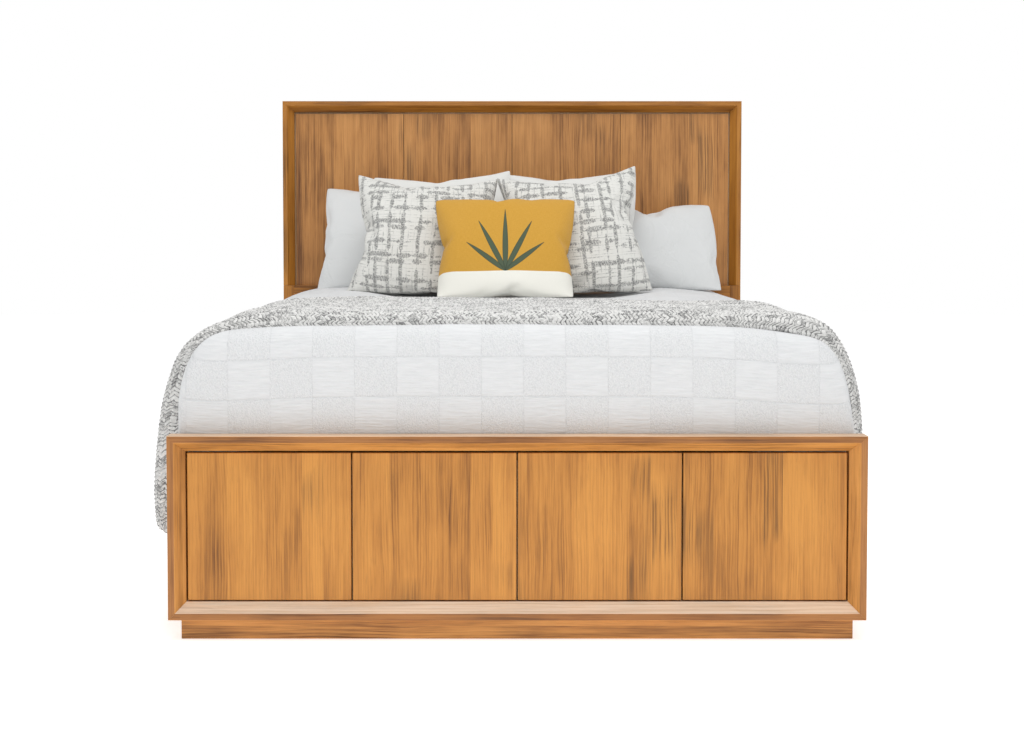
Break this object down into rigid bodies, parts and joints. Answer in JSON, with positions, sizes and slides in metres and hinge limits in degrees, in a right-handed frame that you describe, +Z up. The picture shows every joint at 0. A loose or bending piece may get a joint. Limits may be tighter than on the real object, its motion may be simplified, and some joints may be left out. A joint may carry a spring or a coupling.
{
  "type": "platform bed with storage drawers",
  "caption": "Queen platform bed in honey-stained wood with bevelled frames, a plank headboard, drawers in the footboard, a recessed plinth, and its dressed bedding.",
  "frame": {"origin": "on the floor under the middle of the bed", "axes": "+Z up, +Y from the foot to the head, +X to the right as seen from the foot"},
  "size_m": [1.838, 2.16, 1.45],
  "materials": {
    "honey_wood": "satin",
    "headboard_wood": "satin",
    "inner_wood": "matte",
    "zinc_steel": "satin",
    "nylon": "matte",
    "mattress_ticking": "matte",
    "white_coverlet": "matte",
    "marled_knit": "matte",
    "white_cotton": "matte",
    "brushed_print": "matte",
    "mustard_print": "matte"
  },
  "bodies": {
    "bed": {"accent_pillow": "mustard_print", "back_pillow_left": "white_cotton", "back_pillow_right": "white_cotton", "bracket_bolts": "zinc_steel", "cabinet_back": "inner_wood", "cabinet_bottom": "inner_wood", "cabinet_top": "inner_wood", "cabinet_uprights": "inner_wood", "centre_beam": "inner_wood", "centre_legs": "inner_wood", "corner_brackets": "zinc_steel", "coverlet": "white_coverlet", "fixed_runners": "zinc_steel", "footboard_bottom_rail": "honey_wood", "footboard_left_stile": "honey_wood", "footboard_right_stile": "honey_wood", "footboard_top_rail": "honey_wood", "glides": "nylon", "headboard_backing": "inner_wood", "headboard_left_leg": "headboard_wood", "headboard_left_stile": "headboard_wood", "headboard_lower_rail": "headboard_wood", "headboard_plank_1": "headboard_wood", "headboard_plank_2": "headboard_wood", "headboard_plank_3": "headboard_wood", "headboard_plank_4": "headboard_wood", "headboard_right_leg": "headboard_wood", "headboard_right_stile": "headboard_wood", "headboard_top_rail": "headboard_wood", "ledgers": "inner_wood", "mattress": "mattress_ticking", "patterned_pillow_left": "brushed_print", "patterned_pillow_right": "brushed_print", "plinth_back": "inner_wood", "plinth_front": "honey_wood", "plinth_left": "honey_wood", "plinth_right": "honey_wood", "rail_dowels": "inner_wood", "side_rail_left": "honey_wood", "side_rail_right": "honey_wood", "slats": "inner_wood", "sleeping_pillow_left": "white_cotton", "sleeping_pillow_right": "white_cotton", "throw": "marled_knit"},
    "drawer_1": {"drawer_1_front": "honey_wood", "drawer_1_box": "inner_wood", "drawer_1_bottom": "inner_wood", "drawer_1_runners": "zinc_steel"},
    "drawer_2": {"drawer_2_front": "honey_wood", "drawer_2_box": "inner_wood", "drawer_2_bottom": "inner_wood", "drawer_2_runners": "zinc_steel"},
    "drawer_3": {"drawer_3_front": "honey_wood", "drawer_3_box": "inner_wood", "drawer_3_bottom": "inner_wood", "drawer_3_runners": "zinc_steel"},
    "drawer_4": {"drawer_4_front": "honey_wood", "drawer_4_box": "inner_wood", "drawer_4_bottom": "inner_wood", "drawer_4_runners": "zinc_steel"}
  },
  "joints": [
    {"name": "drawer_1_slide", "type": "slide", "parent": "bed", "child": "drawer_1", "axis": [0, -1, 0], "range_m": [0, 0.42]},
    {"name": "drawer_2_slide", "type": "slide", "parent": "bed", "child": "drawer_2", "axis": [0, -1, 0], "range_m": [0, 0.42]},
    {"name": "drawer_3_slide", "type": "slide", "parent": "bed", "child": "drawer_3", "axis": [0, -1, 0], "range_m": [0, 0.42]},
    {"name": "drawer_4_slide", "type": "slide", "parent": "bed", "child": "drawer_4", "axis": [0, -1, 0], "range_m": [0, 0.42]}
  ]
}
